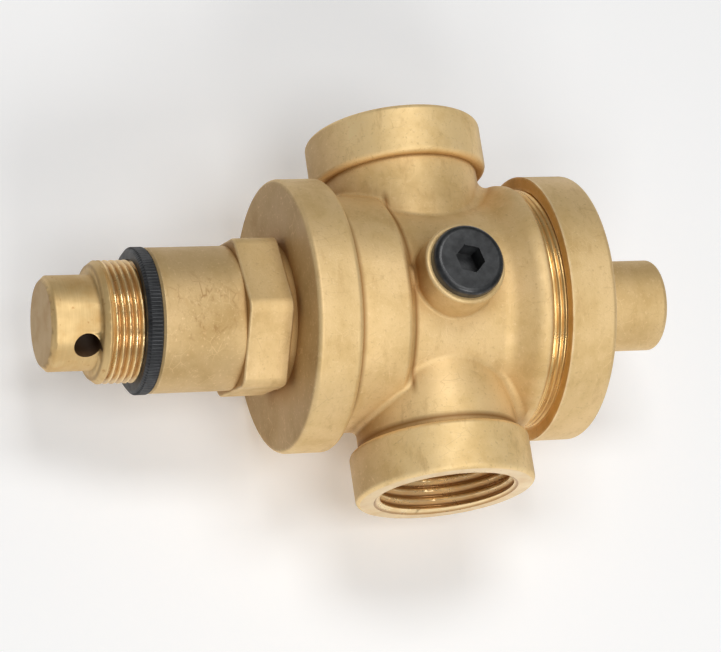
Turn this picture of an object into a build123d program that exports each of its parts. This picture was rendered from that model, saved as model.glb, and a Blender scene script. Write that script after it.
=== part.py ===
from build123d import *
import math
import os

# Pressure reducing valve in brass, G1 by G1, with a spring-loaded piston and a balanced stem.
# The spring, piston and stem lie along X, with the adjusting screw towards -X and the cap towards +X.
# The pipe runs along Y, from the inlet at -Y to the outlet at +Y, and the gauge plug points up, +Z.
# It is modelled about the point where the two axes cross, then moved so that the origin is the
# centre of the inlet's mouth. Sizes are in millimetres, and places along X are from the pipe's axis.

# Clearances
RUNNING = 0.05
FACE_GAP = 0.2
STOP_GAP = 0.3
SEAL_GAP = 0.03

# Pipe ports
FACE_TO_FACE = 88.0
PORT_BORE = 30.29
PORT_MOUTH = 33.4
PORT_MOUTH_DEPTH = 0.9
PORT_THREAD_LENGTH = 17.0
COLLAR_OD = 41.5
COLLAR_LENGTH = 11.8
COLLAR_ROUNDING = 1.3
NECK_OD = 36.8
NECK_FILLET = 2.0

# Outside of the body, along the spring axis
BONNET_JOINT = 24.5
RING_STEP = 1.2
RING_LENGTH = 13.4
RING_ROUNDING = 1.4
RING_FILLET = 1.4
BARREL_WALL = 2.5
RIM_FACE = 22.0
RIM_STEP = 1.0
RIM_LENGTH = 2.2
RIM_ROUNDING = 0.8
FLARE_LENGTH = 6.5
FLARE_FILLET = 7.0
BONNET_THREAD_STEP = 1.0
BONNET_THREAD_LENGTH = 6.3
CAP_THREAD_WALL = 5.5
THREAD_CHAMFER = 0.8

# Chambers and passages inside the body
PISTON_BORE = 42.0
CAP_CHAMBER = 45.0
WEB_FROM = -3.0
WEB_TO = 9.0
SEAT_WALL = 3.0
SEAT_POCKET_DEPTH = 7.0
SEAT_BORE = 20.0
PASSAGE_WIDTH = 22.0
PASSAGE_HEIGHT = 15.0
PASSAGE_SLOPE = 53.13
PASSAGE_OFFSET = 2.0
PASSAGE_LENGTH = 17.0
PASSAGE_OVERLAP = 1.0

# Gauge port and its plug, with a G1/4 thread
GAUGE_BOSS_OD = 19.0
GAUGE_BOSS_HEIGHT = 7.8
GAUGE_BOSS_FILLET = 1.0
GAUGE_BOSS_ROUNDING = 0.7
GAUGE_HOLE = 11.45
GAUGE_HOLE_DEPTH = 9.0
GAUGE_PILOT = 3.0
GAUGE_PILOT_X = -4.6
GAUGE_PILOT_DEPTH = 20.9
GAUGE_SEAL_WIRE = 1.5
PLUG_HEAD_OD = 16.6
PLUG_HEAD_HEIGHT = 3.0
PLUG_HEAD_ROUNDING = 1.5
PLUG_SHANK_LENGTH = 7.5
PLUG_SOCKET_AF = 6.0
PLUG_SOCKET_DEPTH = 5.2
PLUG_SOCKET_TURN = -14.0

# Bonnet
FLANGE_WALL = 5.4
FLANGE_LENGTH = 10.6
FLANGE_ROUNDING = 1.2
BONNET_HEX_AF = 34.0
BONNET_HEX_ROUNDING = 3.2
BONNET_HEX_EDGE = 0.5
BONNET_HEX_LENGTH = 10.4
BONNET_HEX_TURN = 11.0
BONNET_HEX_ROOT = 1.4
BONNET_WALL = 2.55
BONNET_ROOT_STEP = 0.2
BONNET_TIP = 66.0
BONNET_TIP_CHAMFER = 0.5

# Adjusting screw and lock ring
SCREW_THREAD_OD = 27.8
SCREW_THREAD_SHOWING = 7.9
SCREW_THREAD_LENGTH = 23.5
SCREW_SHOULDER_LENGTH = 1.4
SCREW_SHOULDER_OD = 25.8
SCREW_HEAD_OD = 21.6
SCREW_HEAD_LENGTH = 11.0
SCREW_HEAD_CHAMFER = 1.2
SCREW_POINT_OD = 8.0
SCREW_POINT_LENGTH = 3.4
TOMMY_HOLE = 6.0
TOMMY_TURN = 47.8
LOCK_RING_WALL = 2.75
LOCK_RING_WIDTH = 3.6
LOCK_RING_BEVEL = 0.8

# Seat ring, screwed into the web between the chambers
SEAT_FLANGE_STEP = 1.8
SEAT_FLANGE_LENGTH = 2.0
SEAT_LIP_WALL = 1.7
SEAT_LIP_LENGTH = 1.0
SEAT_SEAL_WIRE = 1.6
SEAT_GROOVE_LAND = 1.6

# Stem with its disc and balance piston
LIFT = 5.0
ROD_OD = 10.0
ROD_END_STEP = 1.0
ROD_END_LENGTH = 16.5
DISC_RIM = 1.1
DISC_LENGTH = 5.0
DISC_RECESS = 1.5
BALANCE_STEP = 2.0
BALANCE_LENGTH = 18.0
BALANCE_SEAL_WIRE = 1.8
BALANCE_GROOVE_WIDTH = 2.2
BALANCE_GROOVE_LAND = 3.6
STEM_DRILLING = 2.5
SEAL_OVERLAP = 1.7
SEAL_THICKNESS = 3.5
CLAMP_WASHER_OD = 18.6
CLAMP_WASHER_THICKNESS = 1.5
CLAMP_NUT_AF = 16.0
CLAMP_NUT_LENGTH = 5.0

# Piston
PISTON_FACE = -13.5
PISTON_LENGTH = 9.0
PISTON_SEAL_WIRE = 2.6
PISTON_GROOVE_WIDTH = 3.2
PISTON_SEAL_FROM_FACE = 6.2
WEAR_BAND_WIDTH = 2.4
WEAR_BAND_THICKNESS = 1.4
WEAR_BAND_FROM_FACE = 2.2
PISTON_RIM_WIDTH = 4.0
PISTON_DISH_DEPTH = 2.0
PISTON_HUB_OD = 16.0
PISTON_NUT_AF = 13.0
PISTON_NUT_LENGTH = 5.0

# Spring and its seats
SPRING_OD = 25.0
SPRING_WIRE = 4.0
SPRING_COILS = 4.5
SPRING_PLATE_OD = 26.4
SPRING_PLATE_THICKNESS = 1.5
BUTTON_OD = 27.2
BUTTON_THICKNESS = 3.0
BUTTON_SPIGOT_OD = 15.0
BUTTON_SPIGOT_LENGTH = 3.0

# Cap over the seat chamber, with the balance cylinder in its boss
THREAD_SHOWING = 3.7
CAP_WALL = 3.0
CAP_LENGTH = 11.2
CAP_ROOF = 3.6
CAP_ROUNDING = 1.2
CAP_BOSS_SIDE = 3.65
CAP_BOSS_LENGTH = 22.2
CAP_BOSS_WALL = 3.1
CAP_BOSS_ROUNDING = 1.3
CAP_BOSS_ROOT = 1.0
GUIDE_BUSH_WALL = 1.45
GUIDE_BUSH_LENGTH = 5.5

# O-rings in the joint faces
JOINT_SEAL_WIRE = 1.9
JOINT_SEAL_SIDE = 0.25

# Diameters that follow from the sizes
barrel_od = max(PISTON_BORE, CAP_CHAMBER) + 2 * BARREL_WALL
bonnet_thread_od = barrel_od + 2 * BONNET_THREAD_STEP
ring_od = bonnet_thread_od + 2 * RING_STEP
flange_od = bonnet_thread_od + 2 * FLANGE_WALL
cap_thread_od = CAP_CHAMBER + 2 * CAP_THREAD_WALL
rim_od = cap_thread_od + 2 * RIM_STEP
cap_od = cap_thread_od + 2 * CAP_WALL
gauge_boss_top = barrel_od / 2 + GAUGE_BOSS_HEIGHT
bonnet_bore = SCREW_THREAD_OD + 2 * RUNNING
bonnet_neck_od = bonnet_bore + 2 * BONNET_WALL
bonnet_root_od = bonnet_neck_od + 2 * BONNET_ROOT_STEP
lock_ring_od = bonnet_bore + 2 * LOCK_RING_WALL
seat_pocket = SEAT_BORE + 2 * SEAT_WALL
seat_flange_od = seat_pocket + 2 * SEAT_FLANGE_STEP
seat_lip_od = SEAT_BORE + 2 * SEAT_LIP_WALL
seal_od = seat_lip_od + 2 * SEAL_OVERLAP
disc_od = seal_od + 2 * DISC_RIM
rod_end_od = ROD_OD - 2 * ROD_END_STEP
balance_od = ROD_OD + 2 * BALANCE_STEP
balance_bore = balance_od + 2 * RUNNING
guide_bush_od = balance_bore + 2 * GUIDE_BUSH_WALL
cap_boss_od = balance_bore + 2 * CAP_BOSS_SIDE

# Places along X that follow from the sizes
ring_end = -BONNET_JOINT + RING_LENGTH
body_left = -BONNET_JOINT - BONNET_THREAD_LENGTH
bonnet_floor = body_left - FACE_GAP
flange_front = -BONNET_JOINT - FLANGE_LENGTH
hex_back = flange_front - BONNET_HEX_ROOT
hex_front = hex_back - BONNET_HEX_LENGTH
cap_edge = RIM_FACE + THREAD_SHOWING
cap_back = cap_edge + CAP_LENGTH
cap_floor = cap_back - CAP_ROOF
body_right = cap_floor - FACE_GAP
boss_end = cap_back + CAP_BOSS_LENGTH
balance_bore_end = boss_end - CAP_BOSS_WALL
seat_back = WEB_TO - SEAT_POCKET_DEPTH
seat_flange_end = WEB_TO + SEAT_FLANGE_LENGTH
seat_lip = seat_flange_end + SEAT_LIP_LENGTH
seat_groove_to = WEB_TO - SEAT_GROOVE_LAND
seat_groove_from = seat_groove_to - SEAT_SEAL_WIRE
seal_face = seat_lip + LIFT + RUNNING
disc_front = seal_face + SEAL_THICKNESS - DISC_RECESS
disc_back = disc_front + DISC_LENGTH
stem_end = balance_bore_end - STOP_GAP
balance_front = stem_end - BALANCE_LENGTH
balance_groove_to = stem_end - BALANCE_GROOVE_LAND
balance_groove_from = balance_groove_to - BALANCE_GROOVE_WIDTH
rod_shoulder = PISTON_FACE
stem_start = rod_shoulder - ROD_END_LENGTH
piston_back = PISTON_FACE - PISTON_LENGTH
spring_right = piston_back - SPRING_PLATE_THICKNESS
screw_head_end = -BONNET_TIP - LOCK_RING_WIDTH - SCREW_THREAD_SHOWING
shoulder_end = screw_head_end - SCREW_SHOULDER_LENGTH
screw_tip = shoulder_end - SCREW_HEAD_LENGTH
screw_thread_end = screw_head_end + SCREW_THREAD_LENGTH
screw_point = screw_thread_end + SCREW_POINT_LENGTH
button_left = screw_point + RUNNING
spring_left = button_left + BUTTON_THICKNESS
collar_from = FACE_TO_FACE / 2 - COLLAR_LENGTH
web_middle = (WEB_FROM + WEB_TO) / 2


def turned(points):
    """A solid turned about X from (x, diameter) points, listed once round."""
    outline = Polyline([(x, diameter / 2) for x, diameter in points], close=True)
    return revolve(make_face(outline), Axis.X)


def bar(start, end, diameter):
    """A round bar along X."""
    return turned([(start, 0), (start, diameter), (end, diameter), (end, 0)])


def tube(start, end, outside, inside):
    """A round tube along X."""
    return turned([(start, inside), (start, outside), (end, outside), (end, inside)])


def rims(solid, x, diameter):
    """The circular edges of a turned solid at a place along X."""
    return solid.edges().filter_by(GeomType.CIRCLE).filter_by(
        lambda edge: abs(edge.arc_center.X - x) < 0.01 and abs(edge.radius - diameter / 2) < 0.01
    )


def o_ring(x, inside, wire):
    """A rubber ring around X, from its inside diameter."""
    return Pos(x, 0, 0) * Rot(0, 90, 0) * Torus((inside + wire) / 2, wire / 2)


def hexagon(start, end, across_flats, turn=0.0):
    """A hexagonal bar along X, turned about X in degrees from a corner straight up."""
    flat = Plane(origin=(start, 0, 0), x_dir=(0, 0, 1), z_dir=(1, 0, 0))
    outline = Rot(0, 0, turn) * RegularPolygon(across_flats / 2, 6, major_radius=False)
    return extrude(flat * outline, end - start)


def nut(start, end, across_flats, hole):
    """A plain hexagon nut along X with turned-down corners at its outer end."""
    corners = across_flats / math.cos(math.radians(30))
    bevel = (corners - across_flats) / 2
    blank = turned([(start, 0), (start, across_flats), (start + bevel, corners), (end, corners), (end, 0)])
    return (hexagon(start, end, across_flats) & blank) - bar(start, end, hole)


def face_seal_groove(face_x, inward, middle):
    """The ring to cut from a joint face for its O-ring; inward is +1 or -1 along X."""
    width = JOINT_SEAL_WIRE + 2 * JOINT_SEAL_SIDE
    depth = JOINT_SEAL_WIRE - FACE_GAP
    ends = sorted([face_x, face_x + inward * depth])
    return tube(ends[0], ends[1], middle + width, middle - width)


def bonnet_seal_middle():
    return (PISTON_BORE + bonnet_thread_od) / 2


def cap_seal_middle():
    return (CAP_CHAMBER + cap_thread_od) / 2


def port_cylinder(start, end, diameter):
    """A round bar along Y."""
    return Pos(0, start, 0) * Rot(-90, 0, 0) * Cylinder(
        diameter / 2, end - start, align=(Align.CENTER, Align.CENTER, Align.MIN)
    )


def barrel():
    """The turned outside of the body along the spring axis, without the ring."""
    flare_from = RIM_FACE - RIM_LENGTH - FLARE_LENGTH
    solid = turned([
        (body_left, 0),
        (body_left, bonnet_thread_od - 2 * THREAD_CHAMFER),
        (body_left + THREAD_CHAMFER, bonnet_thread_od),
        (-BONNET_JOINT, bonnet_thread_od),
        (-BONNET_JOINT, barrel_od),
        (flare_from, barrel_od),
        (RIM_FACE - RIM_LENGTH, rim_od),
        (RIM_FACE, rim_od),
        (RIM_FACE, cap_thread_od),
        (body_right - THREAD_CHAMFER, cap_thread_od),
        (body_right, cap_thread_od - 2 * THREAD_CHAMFER),
        (body_right, 0),
    ])
    return fillet(rims(solid, flare_from, barrel_od), FLARE_FILLET)


def ring():
    """The thick ring that the bonnet's flange closes on."""
    solid = tube(-BONNET_JOINT, ring_end, ring_od, PISTON_BORE)
    return fillet(rims(solid, ring_end, ring_od), RING_ROUNDING)


def blended(solid, extra, radius):
    """Two solids joined, with a fillet along the edges where they meet."""
    joined = solid + extra
    return fillet(new_edges(solid, extra, combined=joined), radius)


def collar(direction):
    """One port's collar along Y, with rounded edges; direction is +1 or -1."""
    solid = port_cylinder(collar_from, FACE_TO_FACE / 2, COLLAR_OD)
    solid = fillet(solid.edges().filter_by(GeomType.CIRCLE), COLLAR_ROUNDING)
    return solid if direction > 0 else mirror(solid, Plane.XZ)


def port_bore(direction):
    """What one port's thread, mouth and passage take out of the body."""
    face = FACE_TO_FACE / 2
    bore = port_cylinder(face - PORT_THREAD_LENGTH, face, PORT_BORE)
    mouth = Pos(0, face, 0) * Rot(-90, 0, 0) * Cone(
        PORT_BORE / 2, PORT_MOUTH / 2, PORT_MOUTH_DEPTH, align=(Align.CENTER, Align.CENTER, Align.MAX)
    )
    cut = bore + mouth
    return cut if direction > 0 else mirror(cut, Plane.XZ)


def passage(direction):
    """The sloping way from the bottom of a port's bore to the chamber that it serves."""
    slope = math.radians(PASSAGE_SLOPE)
    mouth = FACE_TO_FACE / 2 - PORT_THREAD_LENGTH + PASSAGE_OVERLAP
    start = Vector(web_middle - direction * PASSAGE_OFFSET, direction * mouth, 0)
    along = Vector(-direction * math.cos(slope), -direction * math.sin(slope), 0)
    section = Plane(origin=start, x_dir=(0, 0, 1), z_dir=along) * SlotOverall(PASSAGE_WIDTH, PASSAGE_HEIGHT)
    return extrude(section, PASSAGE_LENGTH)


def gauge_boss():
    """The upright boss that takes the gauge plug."""
    solid = Cylinder(GAUGE_BOSS_OD / 2, gauge_boss_top, align=(Align.CENTER, Align.CENTER, Align.MIN))
    top = solid.edges().filter_by(GeomType.CIRCLE).sort_by(Axis.Z)[-1]
    return fillet(top, GAUGE_BOSS_ROUNDING)


def gauge_hole():
    """What the gauge port takes out of the body: seal pocket, threaded hole and pilot hole."""
    down = (Align.CENTER, Align.CENTER, Align.MAX)
    pocket = Cylinder(GAUGE_HOLE / 2 + GAUGE_SEAL_WIRE, GAUGE_SEAL_WIRE, align=down)
    hole = Cylinder(GAUGE_HOLE / 2, GAUGE_HOLE_DEPTH, align=down)
    pilot = Pos(GAUGE_PILOT_X, 0, 0) * Cylinder(GAUGE_PILOT / 2, GAUGE_PILOT_DEPTH, align=down)
    return Pos(0, 0, gauge_boss_top) * (pocket + hole + pilot)


def body():
    """The forged body, with both ports, the web and its seat pocket."""
    neck = port_cylinder(-collar_from - COLLAR_ROUNDING, collar_from + COLLAR_ROUNDING, NECK_OD)
    # A quarter turn keeps the cylinder's seam off the flare, where the fillet can't cross it.
    solid = blended(barrel(), Rot(0, 90, 0) * neck, NECK_FILLET)
    solid = fillet(rims(solid, RIM_FACE, rim_od), RIM_ROUNDING)
    solid = blended(solid, ring(), RING_FILLET)
    solid = blended(solid, gauge_boss(), GAUGE_BOSS_FILLET)
    solid += [collar(1), collar(-1)]
    solid -= [port_bore(1), port_bore(-1), passage(1), passage(-1)]
    solid -= bar(body_left, WEB_FROM, PISTON_BORE)
    solid -= bar(WEB_TO, body_right, CAP_CHAMBER)
    solid -= bar(seat_back, WEB_TO, seat_pocket)
    solid -= bar(WEB_FROM, seat_back, SEAT_BORE)
    solid -= gauge_hole()
    solid -= face_seal_groove(body_left, 1, bonnet_seal_middle())
    return solid - face_seal_groove(body_right, -1, cap_seal_middle())


def wrench_hexagon():
    """The forged hexagon of the bonnet, with rounded corners and ends."""
    solid = hexagon(hex_front, hex_back, BONNET_HEX_AF, BONNET_HEX_TURN)
    solid = fillet(solid.edges().filter_by(Axis.X), BONNET_HEX_ROUNDING)
    ends = solid.faces().filter_by(Axis.X)
    return fillet(ends.edges(), BONNET_HEX_EDGE)


def bonnet():
    """The spring housing: flange over the body's thread, wrench hexagon and threaded neck."""
    blank = turned([
        (-BONNET_TIP, 0),
        (-BONNET_TIP, bonnet_neck_od - 2 * BONNET_TIP_CHAMFER),
        (-BONNET_TIP + BONNET_TIP_CHAMFER, bonnet_neck_od),
        (hex_front, bonnet_neck_od),
        (hex_front, bonnet_root_od),
        (flange_front, bonnet_root_od),
        (flange_front, flange_od),
        (-BONNET_JOINT, flange_od),
        (-BONNET_JOINT, 0),
    ])
    blank = fillet(rims(blank, flange_front, flange_od), FLANGE_ROUNDING)
    blank = fillet(rims(blank, -BONNET_JOINT, flange_od), FLANGE_ROUNDING)
    solid = blank + wrench_hexagon() - bar(-BONNET_TIP, bonnet_floor, bonnet_bore)
    solid -= bar(bonnet_floor, -BONNET_JOINT, bonnet_thread_od)
    return solid


def adjusting_screw():
    """The pointed brass screw with its round head and the cross hole for a bar."""
    solid = turned([
        (screw_tip, 0),
        (screw_tip, SCREW_HEAD_OD - 2 * SCREW_HEAD_CHAMFER),
        (screw_tip + SCREW_HEAD_CHAMFER, SCREW_HEAD_OD),
        (shoulder_end, SCREW_HEAD_OD),
        (shoulder_end, SCREW_SHOULDER_OD),
        (screw_head_end, SCREW_THREAD_OD),
        (screw_thread_end - THREAD_CHAMFER, SCREW_THREAD_OD),
        (screw_thread_end, SCREW_THREAD_OD - 2 * THREAD_CHAMFER),
        (screw_thread_end, SCREW_POINT_OD),
        (screw_point, SCREW_POINT_OD),
        (screw_point, 0),
    ])
    hole = Rot(TOMMY_TURN, 0, 0) * Cylinder(TOMMY_HOLE / 2, 2 * SCREW_HEAD_OD)
    return solid - Pos(shoulder_end - TOMMY_HOLE / 2, 0, 0) * hole


def lock_ring():
    """The plastic ring that locks the adjusting screw against the bonnet."""
    right = -BONNET_TIP - RUNNING
    left = right - LOCK_RING_WIDTH + RUNNING
    return turned([
        (left, bonnet_bore),
        (left, lock_ring_od - 2 * LOCK_RING_BEVEL),
        (left + LOCK_RING_BEVEL / 2, lock_ring_od),
        (right, lock_ring_od),
        (right, bonnet_bore),
    ])


def bottom_cap():
    """The cap over the seat chamber, with the balance cylinder inside its boss."""
    solid = turned([
        (cap_edge, 0),
        (cap_edge, cap_od),
        (cap_back, cap_od),
        (cap_back, cap_boss_od),
        (boss_end, cap_boss_od),
        (boss_end, 0),
    ])
    solid = fillet(rims(solid, cap_back, cap_od), CAP_ROUNDING)
    solid = fillet(rims(solid, cap_back, cap_boss_od), CAP_BOSS_ROOT)
    solid = fillet(rims(solid, boss_end, cap_boss_od), CAP_BOSS_ROUNDING)
    solid -= bar(cap_edge, cap_floor, cap_thread_od)
    solid -= bar(cap_floor, cap_floor + GUIDE_BUSH_LENGTH, guide_bush_od)
    return solid - bar(cap_floor, balance_bore_end, balance_bore)


def guide_bush():
    return tube(cap_floor, cap_floor + GUIDE_BUSH_LENGTH, guide_bush_od, balance_bore)


def gauge_plug():
    """The plastic plug with a round head and a hexagon socket."""
    up = (Align.CENTER, Align.CENTER, Align.MIN)
    head = Cylinder(PLUG_HEAD_OD / 2, PLUG_HEAD_HEIGHT, align=up)
    top = head.edges().filter_by(GeomType.CIRCLE).sort_by(Axis.Z)[-1]
    head = fillet(top, PLUG_HEAD_ROUNDING)
    shank = Cylinder(GAUGE_HOLE / 2, PLUG_SHANK_LENGTH, align=(Align.CENTER, Align.CENTER, Align.MAX))
    mouth = RegularPolygon(PLUG_SOCKET_AF / 2, 6, major_radius=False, rotation=PLUG_SOCKET_TURN)
    socket = Pos(0, 0, PLUG_HEAD_HEIGHT - PLUG_SOCKET_DEPTH) * extrude(mouth, PLUG_SOCKET_DEPTH)
    return Pos(0, 0, gauge_boss_top) * (head + shank - socket)


def gauge_plug_seal():
    ring = Torus((GAUGE_HOLE + GAUGE_SEAL_WIRE) / 2, GAUGE_SEAL_WIRE / 2)
    return Pos(0, 0, gauge_boss_top - GAUGE_SEAL_WIRE / 2) * ring


def seat_ring():
    """The stainless seat, with a raised lip and an O-ring groove round its shank."""
    groove_od = seat_pocket - 2 * SEAT_SEAL_WIRE
    return turned([
        (seat_back, SEAT_BORE),
        (seat_back, seat_pocket),
        (seat_groove_from, seat_pocket),
        (seat_groove_from, groove_od),
        (seat_groove_to, groove_od),
        (seat_groove_to, seat_pocket),
        (WEB_TO, seat_pocket),
        (WEB_TO, seat_flange_od),
        (seat_flange_end, seat_flange_od),
        (seat_flange_end, seat_lip_od),
        (seat_lip, seat_lip_od - SEAT_LIP_LENGTH),
        (seat_lip, SEAT_BORE),
    ])


def seat_seal():
    middle = (seat_groove_from + seat_groove_to) / 2
    return o_ring(middle, seat_pocket - 2 * SEAT_SEAL_WIRE, SEAT_SEAL_WIRE)


def balance_groove_od():
    return balance_od - 2 * BALANCE_SEAL_WIRE + 2 * SEAL_GAP


def stem():
    """The turned stem: threaded end, rod, disc and the balance piston with its drilling."""
    solid = turned([
        (stem_start, 0),
        (stem_start, rod_end_od),
        (rod_shoulder, rod_end_od),
        (rod_shoulder, ROD_OD),
        (disc_front + DISC_RECESS, ROD_OD),
        (disc_front + DISC_RECESS, seal_od),
        (disc_front, seal_od),
        (disc_front, disc_od),
        (disc_back, disc_od),
        (disc_back, ROD_OD),
        (balance_front, ROD_OD),
        (balance_front, balance_od),
        (balance_groove_from, balance_od),
        (balance_groove_from, balance_groove_od()),
        (balance_groove_to, balance_groove_od()),
        (balance_groove_to, balance_od),
        (stem_end, balance_od),
        (stem_end, 0),
    ])
    cross = Pos(WEB_FROM, 0, 0) * Rot(90, 0, 0) * Cylinder(STEM_DRILLING / 2, ROD_OD)
    return solid - bar(WEB_FROM - STEM_DRILLING, stem_end, STEM_DRILLING) - cross


def disc_seal():
    return tube(seal_face, seal_face + SEAL_THICKNESS, seal_od, ROD_OD)


def clamp_washer():
    return tube(seal_face - CLAMP_WASHER_THICKNESS, seal_face, CLAMP_WASHER_OD, ROD_OD)


def clamp_nut():
    end = seal_face - CLAMP_WASHER_THICKNESS
    return nut(end - CLAMP_NUT_LENGTH, end, CLAMP_NUT_AF, ROD_OD)


def balance_seal():
    middle = (balance_groove_from + balance_groove_to) / 2
    return o_ring(middle, balance_groove_od(), BALANCE_SEAL_WIRE)


def piston_od():
    return PISTON_BORE - 2 * RUNNING


def piston_seal_inside():
    return PISTON_BORE - 2 * PISTON_SEAL_WIRE - 2 * SEAL_GAP


def piston():
    """The dished piston, grooved for its O-ring and wear band."""
    od = piston_od()
    seal_at = PISTON_FACE - PISTON_SEAL_FROM_FACE
    seal_half = PISTON_GROOVE_WIDTH / 2
    band_to = PISTON_FACE - WEAR_BAND_FROM_FACE + WEAR_BAND_WIDTH / 2
    band_from = band_to - WEAR_BAND_WIDTH
    band_od = PISTON_BORE - 2 * WEAR_BAND_THICKNESS - 2 * SEAL_GAP
    dish = PISTON_FACE - PISTON_DISH_DEPTH
    dish_od = PISTON_BORE - 2 * PISTON_RIM_WIDTH
    return turned([
        (piston_back, rod_end_od),
        (piston_back, od),
        (seal_at - seal_half, od),
        (seal_at - seal_half, piston_seal_inside()),
        (seal_at + seal_half, piston_seal_inside()),
        (seal_at + seal_half, od),
        (band_from, od),
        (band_from, band_od),
        (band_to, band_od),
        (band_to, od),
        (PISTON_FACE, od),
        (PISTON_FACE, dish_od),
        (dish, dish_od - PISTON_DISH_DEPTH),
        (dish, PISTON_HUB_OD + PISTON_DISH_DEPTH),
        (PISTON_FACE, PISTON_HUB_OD),
        (PISTON_FACE, rod_end_od),
    ])


def piston_seal():
    return o_ring(PISTON_FACE - PISTON_SEAL_FROM_FACE, piston_seal_inside(), PISTON_SEAL_WIRE)


def wear_band():
    middle = PISTON_FACE - WEAR_BAND_FROM_FACE
    outside = PISTON_BORE - 2 * SEAL_GAP
    return tube(
        middle - WEAR_BAND_WIDTH / 2, middle + WEAR_BAND_WIDTH / 2, outside, outside - 2 * WEAR_BAND_THICKNESS
    )


def spring_plate():
    """The steel washer between the spring and the piston."""
    return tube(spring_right, piston_back, SPRING_PLATE_OD, rod_end_od)


def piston_nut():
    return nut(spring_right - PISTON_NUT_LENGTH, spring_right, PISTON_NUT_AF, rod_end_od)


def spring():
    """The round-wire compression spring with ground ends."""
    length = spring_right - spring_left
    middle = (SPRING_OD - SPRING_WIRE) / 2
    path = Helix(length / SPRING_COILS, length, middle)
    section = Plane(origin=path @ 0, z_dir=path % 0) * Circle(SPRING_WIRE / 2)
    wire = sweep(section, path=path, is_frenet=True)
    ground = Cylinder(SPRING_OD, length, align=(Align.CENTER, Align.CENTER, Align.MIN))
    return Pos(spring_left, 0, 0) * Rot(0, 90, 0) * (wire & ground)


def spring_button():
    """The steel button that the adjusting screw presses on the spring."""
    return turned([
        (button_left, 0),
        (button_left, BUTTON_OD),
        (spring_left, BUTTON_OD),
        (spring_left, BUTTON_SPIGOT_OD),
        (spring_left + BUTTON_SPIGOT_LENGTH, BUTTON_SPIGOT_OD),
        (spring_left + BUTTON_SPIGOT_LENGTH, 0),
    ])


def bonnet_seal():
    middle = bonnet_seal_middle()
    return o_ring(bonnet_floor + JOINT_SEAL_WIRE / 2, middle - JOINT_SEAL_WIRE, JOINT_SEAL_WIRE)


def cap_seal():
    middle = cap_seal_middle()
    return o_ring(cap_floor - JOINT_SEAL_WIRE / 2, middle - JOINT_SEAL_WIRE, JOINT_SEAL_WIRE)


PIECES = [
    body, bonnet, bonnet_seal, adjusting_screw, lock_ring, spring_button, spring, spring_plate,
    piston_nut, piston, piston_seal, wear_band, stem, clamp_nut, clamp_washer, disc_seal,
    balance_seal, seat_ring, seat_seal, guide_bush, bottom_cap, cap_seal, gauge_plug, gauge_plug_seal,
]

os.makedirs("parts", exist_ok=True)
for piece in PIECES:
    solid = Pos(0, FACE_TO_FACE / 2, 0) * piece()
    export_step(solid, f"parts/{piece.__name__}.step")
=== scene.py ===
# A brass pressure reducing valve on a pale floor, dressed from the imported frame. Metres throughout.
import math
import bpy
import bmesh
from mathutils import Matrix, Vector


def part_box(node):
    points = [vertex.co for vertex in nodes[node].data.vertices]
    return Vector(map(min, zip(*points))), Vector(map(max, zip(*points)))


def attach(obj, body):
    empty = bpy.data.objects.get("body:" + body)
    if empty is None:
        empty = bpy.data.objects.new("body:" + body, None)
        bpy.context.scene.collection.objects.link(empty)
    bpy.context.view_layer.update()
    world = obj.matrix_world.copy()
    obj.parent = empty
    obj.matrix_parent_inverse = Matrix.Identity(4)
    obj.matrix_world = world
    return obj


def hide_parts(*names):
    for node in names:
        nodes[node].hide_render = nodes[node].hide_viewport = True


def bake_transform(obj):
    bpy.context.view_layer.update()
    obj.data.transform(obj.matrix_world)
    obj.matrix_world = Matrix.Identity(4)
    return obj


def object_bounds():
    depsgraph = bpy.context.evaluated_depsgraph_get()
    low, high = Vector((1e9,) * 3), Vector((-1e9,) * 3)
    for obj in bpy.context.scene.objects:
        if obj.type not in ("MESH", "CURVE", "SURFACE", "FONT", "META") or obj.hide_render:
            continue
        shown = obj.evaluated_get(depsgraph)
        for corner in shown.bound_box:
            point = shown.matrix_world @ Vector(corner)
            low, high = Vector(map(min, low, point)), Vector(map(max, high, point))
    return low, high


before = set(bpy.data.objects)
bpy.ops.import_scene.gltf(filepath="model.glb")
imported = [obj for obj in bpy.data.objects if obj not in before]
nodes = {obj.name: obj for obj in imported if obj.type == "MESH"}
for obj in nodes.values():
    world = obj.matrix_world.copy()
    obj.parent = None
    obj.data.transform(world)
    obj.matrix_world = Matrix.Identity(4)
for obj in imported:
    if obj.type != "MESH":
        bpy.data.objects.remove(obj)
cad_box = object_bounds()

MM = 0.001
TURN = 2 * math.pi

# Places taken from the frame
body_low, body_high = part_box("body")
bonnet_low, bonnet_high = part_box("bonnet")
cap_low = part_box("bottom_cap")[0]
screw_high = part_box("adjusting_screw")[1]
ring_low, ring_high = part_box("lock_ring")
plug_low, plug_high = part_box("gauge_plug")
AXIS_Y = (bonnet_low.y + bonnet_high.y) / 2
PIPE_X = (plug_low.x + plug_high.x) / 2
FLOOR_Z = cad_box[0].z

# A thread's flank: how steeply it rises over a pitch, and how much of it the root's flat takes
FLANK_RISE = 1.35
FLANK_CUT = 0.18

# Port threads: the CAD bore is at their crests
PORT_PITCH = 2.309 * MM
PORT_CREST = 15.145 * MM
PORT_ROOT = 16.55 * MM
PORT_LENGTH = 17.2 * MM

# Thread of the adjusting screw, between its shoulder and its inner end: the CAD solid is at its crests
SCREW_PITCH = 1.5 * MM
SCREW_CREST = 13.9 * MM
SCREW_DEPTH = 0.85 * MM
SCREW_RUN_IN = 1.0 * MM
SHOULDER_FROM_RING = 7.9 * MM
THREAD_FROM_END = 3.3 * MM

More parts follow.
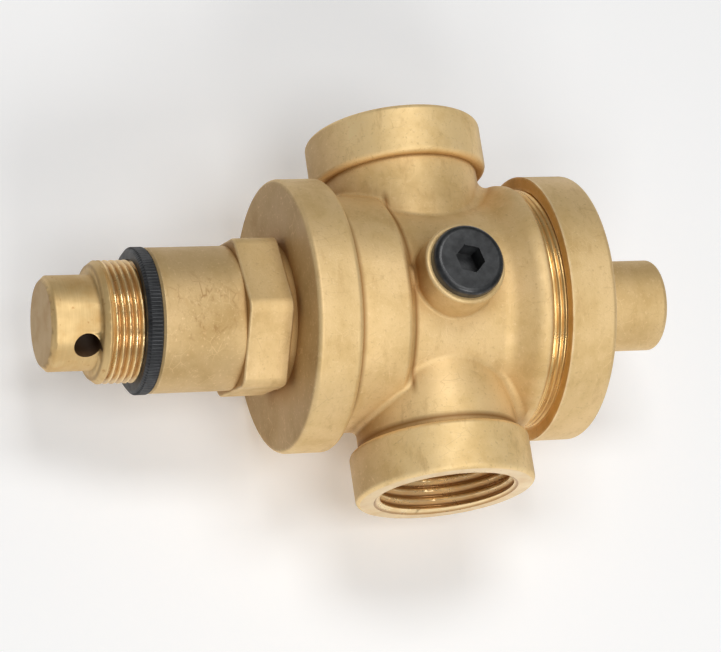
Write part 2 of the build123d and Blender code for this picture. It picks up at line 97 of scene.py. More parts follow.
# Thread of the body beside the cap: the CAD solid is at its crests
CAP_PITCH = 1.25 * MM
CAP_CREST = 28.0 * MM
CAP_DEPTH = 0.35 * MM
CAP_RUN_IN = 0.6 * MM
CAP_START = 0.25 * MM
CAP_THREAD_SHOWN = 3.7 * MM

# Cutters: how far they pass the surface that they leave, the ends and the outside of a thread
THREAD_MARGIN = 0.03 * MM
TAP_OVERRUN = 0.5 * MM
DIE_OVERRUN = 1 * MM
DIE_WALL = 1.5 * MM
TAP_SEGMENTS, TAP_STEPS_PER_PITCH = 96, 22
DIE_SEGMENTS, DIE_STEPS_PER_PITCH = 128, 14

# Faces of the body that get a turned material
NEAR_BORE = 0.3 * MM
NECKS_BEYOND = 25 * MM
RIM_THREAD_BEYOND = 26 * MM
FACE_DEPTH = 0.1 * MM
FACING_PORT = 0.95
PAST_RIM = 0.05 * MM

# Cross hole of the adjusting screw
TOMMY_RADIUS = 3.05 * MM
TOMMY_FROM_SHOULDER = 4.4 * MM
TOMMY_TURN = math.radians(47.8)

# Where the body's painted shadow lines and dark joint line and the bonnet's scratched patch lie
RING_START = -23.2 * MM
RING_END = -9.9 * MM
COLLAR_SHADOW_AT = AXIS_Y - 30.9 * MM
SCUFF = (ring_high.x + 9 * MM, AXIS_Y - 3 * MM, 16 * MM)

# Ribs of the lock ring
RIBS = 120
STEPS_PER_RIB = 6
RIB_DEPTH = 0.32 * MM
RIB_RISE = 2.2
RIB_CUT = 0.7
RING_BEVEL = 0.9 * MM
RING_CLEARANCE = 0.05 * MM

# The camera of the photograph, fitted to the valve's outlines: lens in millimetres, angles in degrees
SENSOR = 36.0
LENS = 160.08
YAW, PITCH, ROLL = 20.84, 17.6, -8.41
CAMERA_DISTANCE = 0.7443
CAMERA_SIDE = 0.01336
CAMERA_RISE = 0.00317

# Lights: name, direction from the valve, height of the lamp and power in watts
LIGHT_DISTANCE = 1.2
LIGHT_WIDTH = 0.60
LIGHTS = (
    ("key", (0.05, -0.30, 0.93), 0.55, 4.8),
    ("upper", (0.0, 0.35, 0.94), 0.30, 4.6),
    ("lower", (0.0, -0.82, 0.57), 0.30, 5.0),
)
SURROUNDINGS = (1.0, 0.99, 0.97)
SURROUNDINGS_STRENGTH = 0.06
FLOOR_SIZE = 3.0
FLOOR_TONE = (0.93, 0.93, 0.93)
FLOOR_GLOW = 0.15


def link(name, mesh):
    obj = bpy.data.objects.new(name, mesh)
    bpy.context.scene.collection.objects.link(obj)
    return obj


def around_x(x, radius, angle):
    """A point on a circle round the spring axis; the angle is from +Y towards +Z."""
    return (x, AXIS_Y + radius * math.cos(angle), radius * math.sin(angle))


def around_y(y, radius, angle):
    """A point on a circle round the pipe's axis; the angle is from +Z towards +X."""
    return (PIPE_X + radius * math.sin(angle), y, radius * math.cos(angle))


def mesh_from(name, bm):
    bmesh.ops.recalc_face_normals(bm, faces=bm.faces)
    mesh = bpy.data.meshes.new(name)
    bm.to_mesh(mesh)
    bm.free()
    return mesh


def band(bm, first, second):
    """Quads between two rings of the same number of vertices."""
    count = len(first)
    for i in range(count):
        j = (i + 1) % count
        bm.faces.new((first[i], first[j], second[j], second[i]))


def rings_of(bm, stations, radius_at, place, segments):
    angles = [TURN * i / segments for i in range(segments)]
    return [[bm.verts.new(place(s, radius_at(s, a), a)) for a in angles] for s in stations]


def spread(start, end, count):
    return [start + (end - start) * k / (count - 1) for k in range(count)]


def ridge(phase):
    """Height of a thread's flank, 0 at the root and 1 at the crest, with narrow flats at both."""
    rise = 1 - abs(2 * (phase % 1.0) - 1)
    return min(1.0, max(0.0, FLANK_RISE * rise - FLANK_CUT))


def tap(name, mouth, inner):
    """The cutter for a port's thread: a screw with its roots in the bore and its crests in the wall."""
    bm = bmesh.new()
    steps = TAP_STEPS_PER_PITCH * round(abs(inner - mouth) / PORT_PITCH)
    low = PORT_CREST - THREAD_MARGIN

    def radius(y, a):
        depth = ridge((y - mouth) / PORT_PITCH - a / TURN)
        return low + (PORT_ROOT - low) * depth

    rings = rings_of(bm, spread(mouth, inner, steps + 1), radius, around_y, TAP_SEGMENTS)
    for first, second in zip(rings, rings[1:]):
        band(bm, first, second)
    bm.faces.new(rings[0])
    bm.faces.new(list(reversed(rings[-1])))
    return link(name, mesh_from(name, bm))


def die(name, start, end, crest, depth, pitch, run_in):
    """The cutter for an outside thread round the spring axis: a ring with ridges on its inside.

    The ridges grow to their depth over the length run_in.
    """
    bm = bmesh.new()
    steps = round((end - start) / pitch * DIE_STEPS_PER_PITCH)
    high = crest + THREAD_MARGIN

    def radius(x, a):
        grown = min(1.0, max(0.0, (x - start) / run_in))
        return high - (depth * grown + THREAD_MARGIN) * ridge(x / pitch - a / TURN)

    inside = rings_of(bm, spread(start, end, steps + 1), radius, around_x, DIE_SEGMENTS)
    outside = rings_of(bm, (start, end), lambda x, a: crest + DIE_WALL, around_x, DIE_SEGMENTS)
    for first, second in zip(inside, inside[1:]):
        band(bm, first, second)
    band(bm, outside[0], outside[1])
    band(bm, inside[0], outside[0])
    band(bm, inside[-1], outside[1])
    return link(name, mesh_from(name, bm))


def welded_copy(node, name):
    """A closed copy of a CAD node, to cut details into."""
    source = nodes[node]
    bm = bmesh.new()
    bm.from_mesh(source.data)
    bm.transform(source.matrix_world)
    bmesh.ops.remove_doubles(bm, verts=bm.verts, dist=1e-7)
    mesh = bpy.data.meshes.new(name)
    bm.to_mesh(mesh)
    bm.free()
    return link(name, mesh)


def cut(obj, cutters):
    for cutter in cutters:
        modifier = obj.modifiers.new(cutter.name, "BOOLEAN")
        modifier.operation = "DIFFERENCE"
        modifier.solver = "MANIFOLD"
        modifier.object = cutter
    graph = bpy.context.evaluated_depsgraph_get()
    mesh = bpy.data.meshes.new_from_object(obj.evaluated_get(graph))
    obj.modifiers.clear()
    obj.data = mesh
    for cutter in cutters:
        bpy.data.objects.remove(cutter)


def finish_shading(obj, degrees=28.0):
    """Smooth shading that keeps flat faces flat."""
    obj.data.shade_smooth()
    obj.data.set_sharp_from_angle(angle=math.radians(degrees))
    modifier = obj.modifiers.new("normals", "WEIGHTED_NORMAL")
    modifier.mode = "FACE_AREA"
    modifier.keep_sharp = True


def paint(obj, materials, choose):
    """Gives each face the material that choose(centre, normal) names, by its place in the list."""
    obj.data.materials.clear()
    for material in materials:
        obj.data.materials.append(material)
    for face in obj.data.polygons:
        face.material_index = choose(face.center, face.normal)


# Materials


def shader_of(name):
    material = bpy.data.materials.new(name)
    material.use_nodes = True
    return material, material.node_tree, material.node_tree.nodes["Principled BSDF"]


def coordinate(tree, kind):
    """The shaded point's place, for the kind Object, or its normal, for Normal."""
    return tree.nodes.new("ShaderNodeTexCoord").outputs[kind]


def part_of(tree, vector, axis):
    """One component of a vector."""
    parts = tree.nodes.new("ShaderNodeSeparateXYZ")
    tree.links.new(vector, parts.inputs["Vector"])
    return parts.outputs[axis]


def object_place(tree, stretch=(1, 1, 1)):
    mapping = tree.nodes.new("ShaderNodeMapping")
    mapping.inputs["Scale"].default_value = stretch
    tree.links.new(coordinate(tree, "Object"), mapping.inputs["Vector"])
    return mapping.outputs["Vector"]


def noise(tree, place, size, detail=3.0, roughness=0.55):
    """Noise whose features are about that size in metres."""
    node = tree.nodes.new("ShaderNodeTexNoise")
    node.inputs["Scale"].default_value = 1 / size
    node.inputs["Detail"].default_value = detail
    node.inputs["Roughness"].default_value = roughness
    tree.links.new(place, node.inputs["Vector"])
    return node.outputs["Fac"]


def ramp(tree, value, stops):
    """A colour ramp of (position, colour) stops."""
    node = tree.nodes.new("ShaderNodeValToRGB")
    elements = node.color_ramp.elements
    while len(elements) < len(stops):
        elements.new(1.0)
    for element, (position, colour) in zip(elements, stops):
        element.position = position
        element.color = (*colour, 1)
    tree.links.new(value, node.inputs["Fac"])
    return node.outputs["Color"]


def spans(tree, value, low, high, out_low, out_high):
    node = tree.nodes.new("ShaderNodeMapRange")
    node.inputs["From Min"].default_value = low
    node.inputs["From Max"].default_value = high
    node.inputs["To Min"].default_value = out_low
    node.inputs["To Max"].default_value = out_high
    tree.links.new(value, node.inputs["Value"])
    return node.outputs["Result"]


def arithmetic(tree, operation, first, second):
    node = tree.nodes.new("ShaderNodeMath")
    node.operation = operation
    for socket, value in zip(node.inputs, (first, second)):
        if isinstance(value, (int, float)):
            socket.default_value = value
        else:
            tree.links.new(value, socket)
    return node.outputs["Value"]


def mixed(tree, factor, first, second, how="MIX"):
    node = tree.nodes.new("ShaderNodeMix")
    node.data_type = "RGBA"
    node.blend_type = how
    for name, value in (("Factor", factor), ("A", first), ("B", second)):
        socket = [s for s in node.inputs if s.name == name and (s.type == "RGBA" or name == "Factor")][0]
        if isinstance(value, (int, float)):
            socket.default_value = value
        elif isinstance(value, tuple):
            socket.default_value = (*value, 1)
        else:
            tree.links.new(value, socket)
    return [s for s in node.outputs if s.type == "RGBA"][0]


def bump(tree, height, distance, strength=1.0, before=None):
    node = tree.nodes.new("ShaderNodeBump")
    node.inputs["Strength"].default_value = strength
    node.inputs["Distance"].default_value = distance
    tree.links.new(height, node.inputs["Height"])
    if before is not None:
        tree.links.new(before, node.inputs["Normal"])
    return node.outputs["Normal"]


def along(tree, axis, centre):
    """Distance from a plane across one axis of the frame, in metres."""
    place = part_of(tree, coordinate(tree, "Object"), axis)
    return arithmetic(tree, "ABSOLUTE", arithmetic(tree, "SUBTRACT", place, centre), 0.0)


def from_axis_line(tree, axis, centre):
    """Distance from a line along that axis, in metres; centre is a point on the line."""
    away = tree.nodes.new("ShaderNodeVectorMath")
    away.operation = "SUBTRACT"
    away.inputs[1].default_value = centre
    flat = tree.nodes.new("ShaderNodeVectorMath")
    flat.operation = "MULTIPLY"
    flat.inputs[1].default_value = [0.0 if i == axis else 1.0 for i in range(3)]
    length = tree.nodes.new("ShaderNodeVectorMath")
    length.operation = "LENGTH"
    tree.links.new(coordinate(tree, "Object"), away.inputs[0])
    tree.links.new(away.outputs["Vector"], flat.inputs[0])
    tree.links.new(flat.outputs["Vector"], length.inputs[0])
    return length.outputs["Value"]


def end_faces(tree):
    """1 on faces that lie across the spring axis and 0 elsewhere."""
    across = arithmetic(tree, "ABSOLUTE", part_of(tree, coordinate(tree, "Normal"), 0), 0.0)
    return spans(tree, across, 0.75, 0.97, 0.0, 1.0)


def ball(tree, centre, core, edge):
    """1 within core of a point and 0 beyond edge from it."""
    node = tree.nodes.new("ShaderNodeVectorMath")
    node.operation = "DISTANCE"
    node.inputs[1].default_value = centre
    tree.links.new(coordinate(tree, "Object"), node.inputs[0])
    return spans(tree, node.outputs["Value"], core, edge, 1.0, 0.0)


def stripe(tree, axis, centre, distance, half):
    """1 on the planes at that distance from the centre, 0 half a width away from them."""
    off = arithmetic(tree, "SUBTRACT", along(tree, axis, centre), distance)
    return spans(tree, arithmetic(tree, "ABSOLUTE", off, 0.0), 0.0, half, 1.0, 0.0)


def body_shadow_lines_and_joint(tree):
    """Painted shadow lines at the thick ring's step onto the barrel and where the near neck runs into its
    collar, and a dark joint line at the ring's other end, where the bonnet meets it.
    """
    # Painted shadow along the thick ring's step onto the barrel.
    ring_shadow = stripe(tree, 0, PIPE_X + RING_END, 0.0, 0.9 * MM)
    on_barrel = spans(tree, along(tree, 1, AXIS_Y), 22 * MM, 25 * MM, 1.0, 0.0)
    ring_shadow = arithmetic(tree, "MULTIPLY", ring_shadow, on_barrel)
    joint_line = stripe(tree, 0, PIPE_X + RING_START, 0.0, 1.1 * MM)
    # Painted contact shadow on the near neck where it runs into its collar.
    collar_shadow = stripe(tree, 1, COLLAR_SHADOW_AT, 0.0, 1.2 * MM)
    round_ring = arithmetic(tree, "MAXIMUM", ring_shadow, joint_line)
    return arithmetic(tree, "MAXIMUM", round_ring, collar_shadow)


def neck_scuffs(tree):
    """A rubbed patch of dark scratches and smears on the bonnet's neck."""
    place = object_place(tree, (1.5, 1.0, 0.7))
    lines = scratches(tree, place, 3 * MM, 0.09)
    smears = spans(tree, noise(tree, place, 2 * MM, 5.0, 0.7), 0.54, 0.68, 0.0, 0.8)
    both = arithmetic(tree, "MAXIMUM", lines, smears)
    patch = arithmetic(tree, "MULTIPLY", both, ball(tree, SCUFF, 4 * MM, 12 * MM))
    return arithmetic(tree, "MULTIPLY", patch, 0.7)


def nearness(tree, reach, inside):
    """1 deep in a crease, or on an outer edge with inside set, and 0 on open faces."""
    node = tree.nodes.new("ShaderNodeAmbientOcclusion")
    node.samples = 6
    node.inside = inside
    node.only_local = True
    node.inputs["Distance"].default_value = reach
    return arithmetic(tree, "SUBTRACT", 1.0, node.outputs["AO"])


def scratches(tree, place, size, width):
    """Thin lines between cells of about that size, broken up by noise."""
    node = tree.nodes.new("ShaderNodeTexVoronoi")
    node.feature = "DISTANCE_TO_EDGE"
    node.inputs["Scale"].default_value = 1 / size
    tree.links.new(place, node.inputs["Vector"])
    lines = spans(tree, node.outputs["Distance"], 0.0, width, 1.0, 0.0)
    broken = spans(tree, noise(tree, place, 2 * size), 0.52, 0.62, 0.0, 1.0)
    return arithmetic(tree, "MULTIPLY", lines, broken)


def scaled(colour, factors):
    return tuple(min(1.0, c * f) for c, f in zip(colour, factors))


def forged_brass(name, tone, shift, fade, painted_end_light, crease_shade_share, dark_marks_and_shadow_lines=None):
    """Shot-blasted brass forging: matt and grained, with stains, scratches, rubbed edges that carry a
    painted highlight, and painted shade in creases.

    fade is (axis, centre, near, far, shade): beyond far from the centre the tone is multiplied by shade,
    which paints light on the body's port collars and shade on the bonnet's far end, and darkens the cap's
    outer end.
    Faces across the spring axis are multiplied by painted_end_light: painted shade on the body and bonnet,
    a painted reflection of the gold thread on the cap. dark_marks_and_shadow_lines(tree) gives further dark
    lines: painted shadow lines and a dark joint line on the body, scuffs on the bonnet.
    """
    material, tree, shader = shader_of(name)
    place = object_place(tree)
    moved = object_place(tree, (1 + shift, 1 - shift, 1))
    axis, centre, near, far, shade = fade
    stains = noise(tree, moved, 13 * MM, 5.0, 0.62)
    colour = ramp(tree, stains, (
        (0.32, scaled(tone, (0.86, 0.82, 0.72))),
        (0.50, tone),
        (0.66, scaled(tone, (1.07, 1.08, 1.14))),
    ))
    # Beyond far from the centre: painted light on the body's port collars, painted shade on the bonnet's
    # far end, a darker outer end on the cap.
    beyond = spans(tree, along(tree, axis, centre), near, far, 0.0, 1.0)
    colour = mixed(tree, beyond, colour, shade, "MULTIPLY")
    # Painted shade on faces across the spring axis; on the cap, a painted reflection of its gold thread
    # there instead.
    colour = mixed(tree, end_faces(tree), colour, painted_end_light, "MULTIPLY")
    specks = spans(tree, noise(tree, place, 0.8 * MM, 2.0, 0.6), 0.60, 0.74, 0.0, 0.32)
    colour = mixed(tree, specks, colour, scaled(tone, (0.60, 0.52, 0.42)))
    flecks = spans(tree, noise(tree, moved, 0.7 * MM, 2.0, 0.6), 0.60, 0.74, 0.0, 0.45)
    colour = mixed(tree, flecks, colour, scaled(tone, (1.16, 1.22, 1.45)))
    rubbed_place = object_place(tree, (1.6, 0.5, 0.9))
    rubbed = spans(tree, noise(tree, rubbed_place, 5 * MM, 5.0, 0.7), 0.56, 0.72, 0.0, 0.5)
    colour = mixed(tree, rubbed, colour, scaled(tone, (0.74, 0.66, 0.55)))
    lines = arithmetic(tree, "MULTIPLY", scratches(tree, moved, 4 * MM, 0.022), 0.35)
    colour = mixed(tree, lines, colour, scaled(tone, (1.25, 1.3, 1.5)))
    dark_place = object_place(tree, (0.6, 1.3, 1 + shift))
    dark_lines = arithmetic(tree, "MULTIPLY", scratches(tree, dark_place, 3.2 * MM, 0.024), 0.24)
    colour = mixed(tree, dark_lines, colour, scaled(tone, (0.5, 0.42, 0.34)))
    # Painted shade in creases and in tight corners, from ambient occlusion.
    crease = spans(tree, nearness(tree, 5 * MM, False), 0.10, 0.60, 0.0, crease_shade_share)
    colour = mixed(tree, crease, colour, scaled(tone, (0.60, 0.45, 0.28)))
    corner = spans(tree, nearness(tree, 1.3 * MM, False), 0.16, 0.50, 0.0, crease_shade_share)
    colour = mixed(tree, corner, colour, scaled(tone, (0.50, 0.36, 0.20)))
    # Further dark lines: scuffs on the bonnet; painted shadow lines and a dark joint line on the body.
    if dark_marks_and_shadow_lines:
        dark = arithmetic(tree, "MULTIPLY", dark_marks_and_shadow_lines(tree), 0.95)
        colour = mixed(tree, dark, colour, scaled(tone, (0.40, 0.27, 0.14)))
    # Rubbed convex edges, lighter and less rough, with a painted highlight along them.
    edge_wear_and_highlight = spans(tree, nearness(tree, 0.9 * MM, True), 0.12, 0.38, 0.0, 1.0)
    patches = spans(tree, noise(tree, place, 3 * MM, 4.0), 0.36, 0.58, 0.25, 0.95)
    edge_wear_and_highlight = arithmetic(tree, "MULTIPLY", edge_wear_and_highlight, patches)
    colour = mixed(tree, edge_wear_and_highlight, colour, scaled(tone, (1.23, 1.34, 1.65)))
    tree.links.new(colour, shader.inputs["Base Color"])
    shader.inputs["Metallic"].default_value = 0.40
    rough = spans(tree, stains, 0.3, 0.7, 0.62, 0.50)
    tree.links.new(arithmetic(tree, "SUBTRACT", rough, arithmetic(tree, "MULTIPLY", edge_wear_and_highlight, 0.2)),
                   shader.inputs["Roughness"])
    grain = bump(tree, noise(tree, place, 0.42 * MM, 2.0, 0.6), 0.05 * MM, 0.6)
    dents = bump(tree, noise(tree, moved, 2.6 * MM, 4.0, 0.6), 0.10 * MM, 0.4, grain)
    tree.links.new(dents, shader.inputs["Normal"])
    return material


def machined_brass(name, tone, rough, metal, ring_axis, roots=None):
    """Turned brass: fine tool rings across the axis, slightly tarnished, with painted shade in the grooves
    and on faces across the spring axis.

    roots is (centre, shade_from, shade_full, share): painted shade darkens a thread's roots, from the
    shade_from to the shade_full radius.
    """
    material, tree, shader = shader_of(name)
    place = object_place(tree)
    tarnish = noise(tree, place, 6 * MM, 4.0, 0.6)
    colour = ramp(tree, tarnish, (
        (0.32, scaled(tone, (0.92, 0.84, 0.72))),
        (0.52, tone),
        (0.72, scaled(tone, (1.06, 1.07, 1.10))),
    ))
    stretch = [1.0, 1.0, 1.0]
    stretch[ring_axis] = 40.0
    rings = noise(tree, object_place(tree, stretch), 8 * MM, 2.0, 0.5)
    # Painted shade on faces across the spring axis.
    colour = mixed(tree, end_faces(tree), colour, PAINTED_END_SHADE, "MULTIPLY")
    ring_lines = spans(tree, rings, 0.35, 0.65, 0.22, 0.0)
    colour = mixed(tree, ring_lines, colour, scaled(tone, (0.72, 0.66, 0.58)))
    nick_place = object_place(tree, (1.3, 1, 0.8))
    nick_spots = spans(tree, noise(tree, nick_place, 1.6 * MM, 2.0), 0.68, 0.74, 0.0, 0.55)
    colour = mixed(tree, nick_spots, colour, scaled(tone, (0.62, 0.40, 0.20)))
    # Painted shade in the grooves, from ambient occlusion.
    groove_shade = spans(tree, nearness(tree, 1.0 * MM, False), 0.30, 0.80, 0.0, 0.6)
    colour = mixed(tree, groove_shade, colour, scaled(tone, (0.46, 0.33, 0.20)))
    if roots:
        centre, shade_from, shade_full, share = roots
        # Painted shade in the thread's roots, by distance from the axis.
        root = spans(tree, from_axis_line(tree, ring_axis, centre), shade_from, shade_full, 0.0, share)
        colour = mixed(tree, root, colour, scaled(tone, (0.40, 0.24, 0.11)))
    tree.links.new(colour, shader.inputs["Base Color"])
    shader.inputs["Metallic"].default_value = metal
    tree.links.new(spans(tree, tarnish, 0.3, 0.7, rough + 0.08, rough - 0.03), shader.inputs["Roughness"])
    fine = bump(tree, rings, 0.02 * MM, 0.5)
    nicks = bump(tree, noise(tree, place, 1.1 * MM, 3.0, 0.6), 0.03 * MM, 0.3, fine)
    tree.links.new(nicks, shader.inputs["Normal"])
    return material


def plain_metal(name, tone, rough, grain):
    """Steel with faint drawing lines and uneven sheen."""
    material, tree, shader = shader_of(name)
    place = object_place(tree, (1, 1, 8))
    cloud = noise(tree, place, 7 * MM, 4.0)
    fine = noise(tree, place, grain, 2.0)
    colour = ramp(tree, cloud, (
        (0.3, scaled(tone, (0.86, 0.86, 0.86))),
        (0.6, tone),
        (0.8, scaled(tone, (1.1, 1.1, 1.1))),
    ))
    tree.links.new(colour, shader.inputs["Base Color"])
    shader.inputs["Metallic"].default_value = 1.0
    tree.links.new(spans(tree, fine, 0.3, 0.7, rough - 0.05, rough + 0.08), shader.inputs["Roughness"])
    tree.links.new(bump(tree, fine, 0.01 * MM, 0.4), shader.inputs["Normal"])
    return material


def moulded(name, dark, light, rough, coat):
    """Moulded plastic or rubber with a fine grain, scuffs and painted shade in its hollows."""
    material, tree, shader = shader_of(name)
    place = object_place(tree)
    cloud = noise(tree, place, 3 * MM, 5.0, 0.65)
    fine = noise(tree, place, 0.35 * MM, 2.0)
    colour = ramp(tree, cloud, ((0.38, dark), (0.66, light)))
    # Painted shade in hollows, from ambient occlusion.
    hollow_shade = spans(tree, nearness(tree, 3 * MM, False), 0.35, 0.75, 0.0, 0.9)
    tree.links.new(mixed(tree, hollow_shade, colour, scaled(dark, (0.3, 0.3, 0.3))), shader.inputs["Base Color"])
    tree.links.new(spans(tree, cloud, 0.3, 0.7, rough + 0.08, rough - 0.06), shader.inputs["Roughness"])
    shader.inputs["Coat Weight"].default_value = coat
    shader.inputs["Coat Roughness"].default_value = 0.22
    tree.links.new(bump(tree, fine, 0.02 * MM, 0.35), shader.inputs["Normal"])
    return material


# Tones: the forged brass; the painted shade for faces across the axis; the factors for the far ends of a
# forging, which paint shade on the bonnet and light on the body's port collars and darken the cap's outer
# end; and the painted reflection of the gold thread on the cap's faces across the axis
BRASS = (0.81, 0.575, 0.268)
PAINTED_END_SHADE = (0.66, 0.62, 0.58)
# Painted shade on the bonnet's far end.
PAINTED_BONNET_SHADE = (0.80, 0.78, 0.76)
# Painted light on the body's port collars.
PAINTED_COLLAR_LIGHT = (1.20, 1.24, 1.30)
# Darkens the cap towards its outer end.
CAP_OUTER_END_DARKER = (0.95, 0.95, 0.95)
# Painted reflection of the gold thread, on the cap's faces across the axis.
PAINTED_GOLD_REFLECTION = (1.0, 0.92, 0.72)
CENTRE = (PIPE_X, AXIS_Y, 0)

# Painted shade in the thread roots: the axes' crossing, the radii where it starts and is full, and its
# share
PORT_ROOT_SHADE = (CENTRE, PORT_CREST + 0.75 * MM, PORT_CREST + 1.25 * MM, 0.82)
SCREW_ROOT_SHADE = (CENTRE, SCREW_CREST - 0.40 * MM, SCREW_CREST - 0.85 * MM, 0.65)
CAP_ROOT_SHADE = (CENTRE, CAP_CREST - 0.15 * MM, CAP_CREST - CAP_DEPTH, 0.45)

forged = forged_brass(
    "forged_brass", BRASS, 0.0, (1, AXIS_Y, 22 * MM, 31 * MM, PAINTED_COLLAR_LIGHT), PAINTED_END_SHADE, 0.85, body_shadow_lines_and_joint)
forged_bonnet = forged_brass(
    "forged_brass_bonnet", BRASS, 0.13, (0, PIPE_X, 44 * MM, 50 * MM, PAINTED_BONNET_SHADE), PAINTED_END_SHADE, 0.85, neck_scuffs)
forged_cap = forged_brass(
    "forged_brass_cap", BRASS, 0.27, (0, PIPE_X, 35 * MM, 39 * MM, CAP_OUTER_END_DARKER), PAINTED_GOLD_REFLECTION, 0.35)
turned_x = machined_brass("machined_brass", (0.76, 0.535, 0.24), 0.48, 0.5, 0)
thread_brass = machined_brass("screw_thread_brass", (1.0, 0.74, 0.38), 0.27, 0.7, 0, SCREW_ROOT_SHADE)
turned_port = machined_brass("port_thread_brass", (1.0, 0.77, 0.43), 0.27, 0.58, 1, PORT_ROOT_SHADE)
faced_brass = machined_brass("faced_brass", (0.90, 0.69, 0.40), 0.34, 0.5, 1)
turned_cap = machined_brass("cap_thread_brass", (0.95, 0.66, 0.28), 0.27, 0.75, 0, CAP_ROOT_SHADE)
# Painted shade: near-black brass for the walls of the screw's cross hole.
cross_hole_shade_brass = machined_brass("cross_hole_shade_brass", (0.17, 0.095, 0.045), 0.45, 0.4, 0)
inner_brass = machined_brass("turned_brass", (0.82, 0.60, 0.32), 0.28, 0.8, 0)
black_ring = moulded("black_plastic_ring", (0.010, 0.011, 0.013), (0.030, 0.032, 0.036), 0.46, 0.1)
black_plug = moulded("black_plastic_plug", (0.005, 0.006, 0.007), (0.034, 0.036, 0.038), 0.40, 0.25)
zinc = plain_metal("zinc_steel", (0.62, 0.63, 0.64), 0.30, 0.6 * MM)
spring_steel = plain_metal("spring_steel", (0.42, 0.43, 0.45), 0.34, 0.4 * MM)
stainless_nuts = plain_metal("stainless_nuts", (0.66, 0.66, 0.66), 0.26, 0.5 * MM)
stainless_seat = plain_metal("stainless_seat", (0.70, 0.70, 0.69), 0.18, 0.5 * MM)
rubber = moulded("black_rubber", (0.012, 0.012, 0.012), (0.035, 0.035, 0.034), 0.62, 0.0)
white_plastic = moulded("white_plastic", (0.72, 0.71, 0.66), (0.84, 0.83, 0.79), 0.42, 0.05)

# CAD nodes that are shown as they are
SHOWN = (
    (forged_bonnet, ("bonnet",)),
    (forged_cap, ("bottom_cap",)),
    (black_plug, ("gauge_plug",)),
    (zinc, ("spring_button", "spring_plate")),
    (stainless_nuts, ("piston_nut", "clamp_nut", "clamp_washer")),
    (stainless_seat, ("seat_ring",)),
    (inner_brass, ("piston", "stem")),
    (rubber, ("bonnet_seal", "piston_seal", "balance_seal", "seat_seal", "cap_seal")),
    (rubber, ("gauge_plug_seal", "disc_seal")),
    (white_plastic, ("wear_band", "guide_bush")),
)


def dress_shown():
    for material, names in SHOWN:
        for name in names:
            slots = nodes[name].data.materials
            if not slots:
                slots.append(material)
            for i in range(len(slots)):
                slots[i] = material


def threaded_body():
    """The body with both pipe threads and the thread that shows beside the cap."""
    obj = welded_copy("body", "threaded_body")
    near, far = body_low.y, body_high.y
    rim_face = cap_low.x - CAP_THREAD_SHOWN
    end = body_high.x + DIE_OVERRUN
    cut(obj, (
        tap("near_tap", near - TAP_OVERRUN, near + PORT_LENGTH),
        tap("far_tap", far + TAP_OVERRUN, far - PORT_LENGTH),
        die("cap_die", rim_face + CAP_START, end, CAP_CREST, CAP_DEPTH, CAP_PITCH, CAP_RUN_IN),
    ))

    def choose(centre, normal):
        from_pipe = math.hypot(centre.x - PIPE_X, centre.z)
        from_axis = math.hypot(centre.y - AXIS_Y, centre.z)
        if from_pipe < PORT_ROOT + NEAR_BORE and abs(centre.y - AXIS_Y) > NECKS_BEYOND:
            return 1
        if centre.x > rim_face + PAST_RIM and from_axis > RIM_THREAD_BEYOND:
            return 2
        if abs(normal.y) > FACING_PORT and min(centre.y - near, far - centre.y) < FACE_DEPTH:
            return 3
        return 0

    paint(obj, (forged, turned_port, turned_cap, faced_brass), choose)
    finish_shading(obj)
    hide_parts("body")
    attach(obj, "root")


def threaded_screw():
    """The adjusting screw with its thread, and its cross hole painted near-black as shade."""
    obj = welded_copy("adjusting_screw", "threaded_screw")
    shoulder = ring_low.x - SHOULDER_FROM_RING
    thread_end = screw_high.x - THREAD_FROM_END
    cut(obj, (die("screw_die", shoulder, thread_end, SCREW_CREST, SCREW_DEPTH, SCREW_PITCH, SCREW_RUN_IN),))
    hole_x = shoulder - TOMMY_FROM_SHOULDER

    def choose(centre, normal):
        across = (centre.y - AXIS_Y) * math.cos(TOMMY_TURN) + centre.z * math.sin(TOMMY_TURN)
        if math.hypot(centre.x - hole_x, across) < TOMMY_RADIUS:
            return 1
        return 2 if centre.x > shoulder + SCREW_RUN_IN else 0

    paint(obj, (turned_x, cross_hole_shade_brass, thread_brass), choose)
    finish_shading(obj)
    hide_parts("adjusting_screw")
    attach(obj, "screw")


def ribbed_ring():
    """The lock ring with fine ribs round its edge and a bevel towards the screw's head."""
    bm = bmesh.new()
    segments = RIBS * STEPS_PER_RIB
    outer = (ring_high.z - ring_low.z) / 2
    inner = SCREW_CREST + RING_CLEARANCE
    left, right = ring_low.x, ring_high.x

    def rib(a):
        phase = (a * RIBS / TURN) % 1.0
        return RIB_DEPTH * min(1.0, max(0.0, RIB_RISE * abs(2 * phase - 1) - RIB_CUT))

    stations = (
        (left, inner, 0),
        (left, outer - RING_BEVEL, 0),
        (left + 0.45 * MM, outer - 0.35 * MM, 0.4),
        (left + 0.75 * MM, outer, 1),
        (right - 0.5 * MM, outer, 1),
        (right - 0.15 * MM, outer - 0.3 * MM, 0.3),
        (right, outer - 0.5 * MM, 0),
        (right, inner, 0),
    )
    rings = []
    for x, radius, share in stations:
        angles = [TURN * i / segments for i in range(segments)]
        rings.append([bm.verts.new(around_x(x, radius - share * rib(a), a)) for a in angles])
    for first, second in zip(rings, rings[1:] + rings[:1]):
        band(bm, first, second)
    obj = link("ribbed_ring", mesh_from("ribbed_ring", bm))
    obj.data.materials.append(black_ring)
    finish_shading(obj, 24)
    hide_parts("lock_ring")
    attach(obj, "locking")


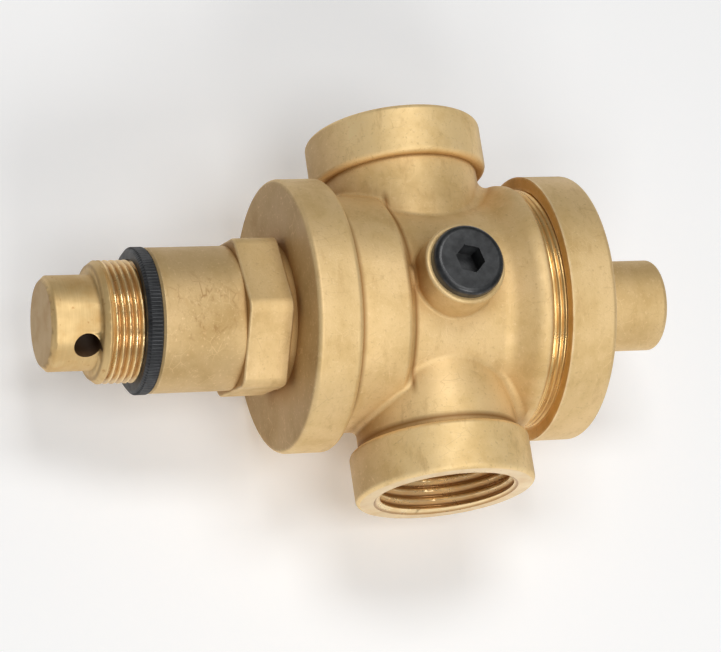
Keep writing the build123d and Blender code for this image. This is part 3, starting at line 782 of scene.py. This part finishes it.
def half_spring(name, sign):
    """Half of the spring, cut across its middle and closed at the cut; sign picks which half is kept."""
    obj = welded_copy("spring", name)
    low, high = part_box("spring")
    middle = Vector(((low.x + high.x) / 2, AXIS_Y, 0))
    bm = bmesh.new()
    bm.from_mesh(obj.data)
    geometry = bm.verts[:] + bm.edges[:] + bm.faces[:]
    bmesh.ops.bisect_plane(bm, geom=geometry, plane_co=middle, plane_no=(-sign, 0, 0), clear_outer=True)
    open_edges = [edge for edge in bm.edges if edge.is_boundary]
    bmesh.ops.holes_fill(bm, edges=open_edges)
    bm.to_mesh(obj.data)
    bm.free()
    obj.data.materials.clear()
    obj.data.materials.append(spring_steel)
    finish_shading(obj, 40)
    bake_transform(obj)
    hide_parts("spring")


def spring_halves():
    """The spring in two halves, because the button moves one end of it and the stem the other."""
    half_spring("spring_button_half", -1)
    half_spring("spring_stem_half", 1)


def camera():
    """The camera that the photograph was taken with; it looks at the crossing of the axes."""
    data = bpy.data.cameras.new("camera")
    data.sensor_width = SENSOR
    data.lens = LENS
    data.clip_start = 0.05
    data.clip_end = 20.0
    obj = bpy.data.objects.new("camera", data)
    bpy.context.scene.collection.objects.link(obj)
    yaw, pitch, roll = (math.radians(a) for a in (YAW, PITCH, ROLL))
    back = Vector((-math.sin(yaw) * math.cos(pitch), -math.sin(pitch), math.cos(yaw) * math.cos(pitch)))
    right = Vector((0, 1, 0)).cross(back).normalized()
    up = back.cross(right)
    rolled_right = right * math.cos(roll) + up * math.sin(roll)
    rolled_up = up * math.cos(roll) - right * math.sin(roll)
    place = Vector(CENTRE) + back * CAMERA_DISTANCE - rolled_right * CAMERA_SIDE - rolled_up * CAMERA_RISE
    turn = Matrix((rolled_right, rolled_up, back)).transposed().to_4x4()
    obj.matrix_world = Matrix.Translation(place) @ turn
    bpy.context.scene.camera = obj


def area_light(name, direction, height, power):
    """A rectangular lamp that faces the valve, with its width along the spring axis."""
    data = bpy.data.lights.new(name, "AREA")
    data.shape = "RECTANGLE"
    data.size = LIGHT_WIDTH
    data.size_y = height
    data.energy = power
    obj = bpy.data.objects.new(name, data)
    bpy.context.scene.collection.objects.link(obj)
    towards = Vector(direction).normalized()
    side = Vector((1, 0, 0))
    side = (side - towards * side.dot(towards)).normalized()
    top = towards.cross(side)
    turn = Matrix((side, top, towards)).transposed().to_4x4()
    place = Vector(CENTRE) + towards * LIGHT_DISTANCE
    obj.matrix_world = Matrix.Translation(place) @ turn


def studio():
    """Pale floor, pale surroundings and soft lights."""
    world = bpy.data.worlds.new("world")
    bpy.context.scene.world = world
    world.use_nodes = True
    background = world.node_tree.nodes["Background"]
    background.inputs["Color"].default_value = (*SURROUNDINGS, 1)
    background.inputs["Strength"].default_value = SURROUNDINGS_STRENGTH
    bm = bmesh.new()
    bmesh.ops.create_grid(bm, x_segments=1, y_segments=1, size=FLOOR_SIZE)
    floor = link("floor", mesh_from("floor", bm))
    floor.location = (PIPE_X, AXIS_Y, FLOOR_Z)
    material, tree, shader = shader_of("floor")
    shader.inputs["Base Color"].default_value = (*FLOOR_TONE, 1)
    shader.inputs["Roughness"].default_value = 0.8
    shader.inputs["Emission Color"].default_value = (1.0, 1.0, 1.0, 1)
    shader.inputs["Emission Strength"].default_value = FLOOR_GLOW
    floor.data.materials.append(material)
    for name, direction, height, power in LIGHTS:
        area_light(name, direction, height, power)
    bpy.context.scene.view_settings.view_transform = "Standard"


dress_shown()
threaded_body()
threaded_screw()
ribbed_ring()
spring_halves()
camera()
studio()
